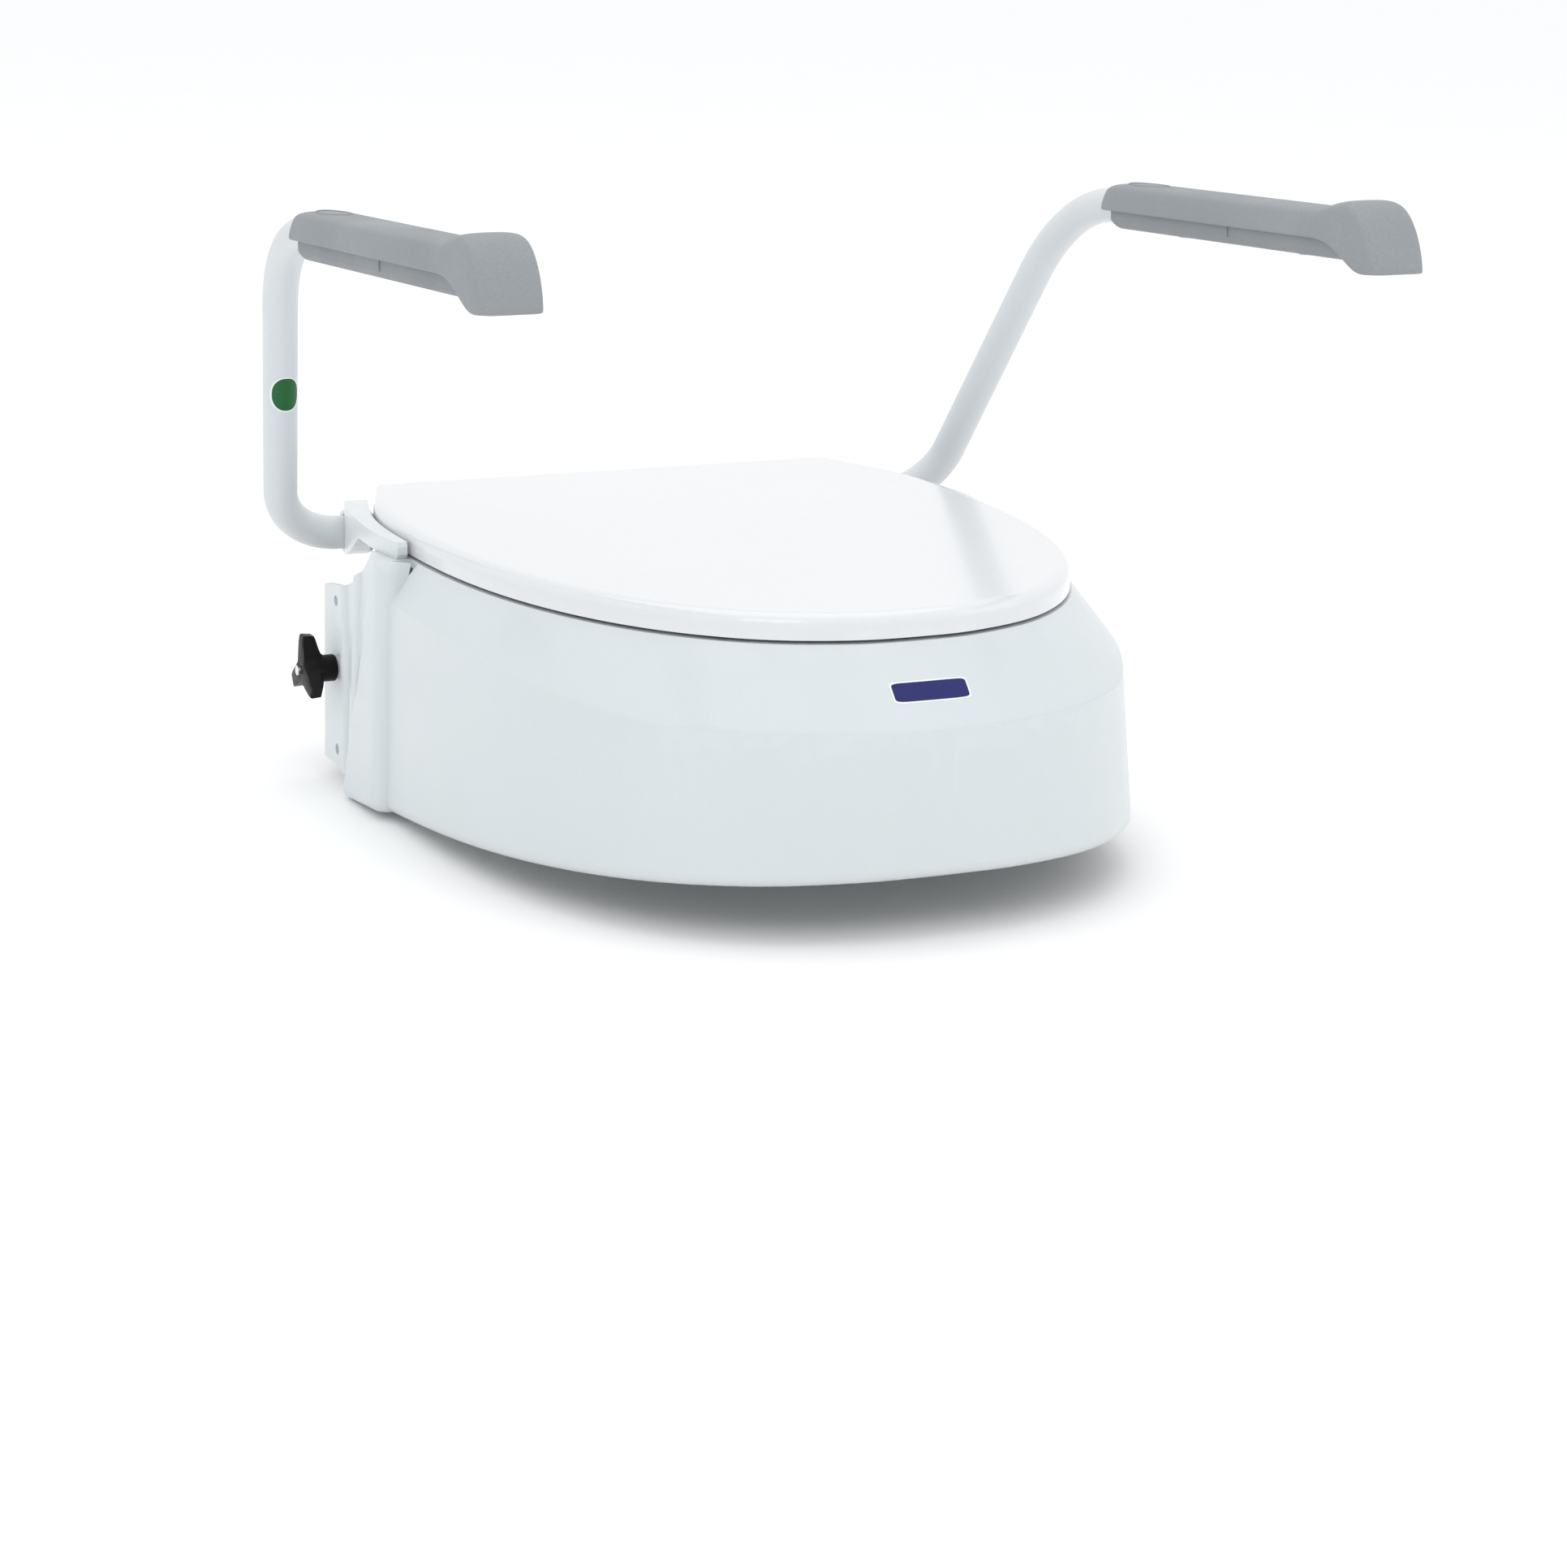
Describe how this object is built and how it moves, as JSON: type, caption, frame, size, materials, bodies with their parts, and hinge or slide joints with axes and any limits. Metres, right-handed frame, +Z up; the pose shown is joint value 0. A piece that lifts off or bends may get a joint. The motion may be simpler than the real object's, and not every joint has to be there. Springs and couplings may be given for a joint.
{
  "type": "raised toilet seat",
  "caption": "Raised toilet seat body with skirt, hinged lid, two fold-up padded armrests, rear height flanges with star knobs, and a slotted pan bracket.",
  "frame": {"origin": "centre of the bounding box on the ground: mid-width, mid-depth, at the skirt's lowest edge", "axes": "+X to the right across the seat, -Y towards the front of the seat, +Z up; the seat deck is level"},
  "size_m": [0.532, 0.4934, 0.3757],
  "materials": {
    "shell_white": "satin moulded plastic",
    "fairing_white": "satin moulded plastic",
    "lid_white": "high gloss",
    "buffer_rubber": "matt",
    "foot_rubber": "matt",
    "steel": "plain",
    "bracket_steel": "zinc plated",
    "bolt_steel": "zinc plated",
    "support_plastic": "satin",
    "bush_plastic": "satin",
    "tube_paint": "powder coat",
    "pad_grey": "fine matt texture",
    "pad_base_grey": "fine matt texture",
    "knob_black": "satin",
    "brass": "plain"
  },
  "bodies": {
    "seat": {"seat_shell": "shell_white", "lid_hinge_pins": "steel", "mounting_bracket": "bracket_steel", "bracket_pads": "foot_rubber", "height_bolts": "bolt_steel", "height_washers": "steel", "support_feet": "foot_rubber", "front_support_left": "support_plastic", "front_support_right": "support_plastic", "arm_axles": "steel", "arm_bearing_left": "fairing_white", "arm_bearing_right": "fairing_white"},
    "lid_body": {"lid": "lid_white", "lid_buffers": "buffer_rubber"},
    "arm_left": {"arm_tube_left": "tube_paint", "arm_bushing_left": "bush_plastic", "pad_cover_left": "pad_grey", "pad_base_left": "pad_base_grey", "pad_screws_left": "steel"},
    "arm_right": {"arm_tube_right": "tube_paint", "arm_bushing_right": "bush_plastic", "pad_cover_right": "pad_grey", "pad_base_right": "pad_base_grey", "pad_screws_right": "steel"},
    "star_left": {"knob_left": "knob_black", "knob_insert_left": "brass"},
    "star_right": {"knob_right": "knob_black", "knob_insert_right": "brass"}
  },
  "joints": [
    {"name": "lid_hinge", "type": "hinge", "parent": "seat", "child": "lid_body", "pos_m": [0, 0.23869, 0.16], "axis": [-1, 0, 0], "range_deg": [0, 95]},
    {"name": "arm_left_fold", "type": "hinge", "parent": "seat", "child": "arm_left", "pos_m": [-0.16, 0.22869, 0.142], "axis": [-1, 0, 0], "range_deg": [0, 95]},
    {"name": "arm_right_fold", "type": "hinge", "parent": "seat", "child": "arm_right", "pos_m": [0.16, 0.22869, 0.142], "axis": [-1, 0, 0], "range_deg": [0, 95]},
    {"name": "knob_left_turn", "type": "hinge", "parent": "seat", "child": "star_left", "pos_m": [-0.2, 0.19269, 0.0685], "axis": [-1, 0, 0], "continuous": true},
    {"name": "knob_right_turn", "type": "hinge", "parent": "seat", "child": "star_right", "pos_m": [0.2, 0.19269, 0.0685], "axis": [1, 0, 0], "continuous": true}
  ]
}
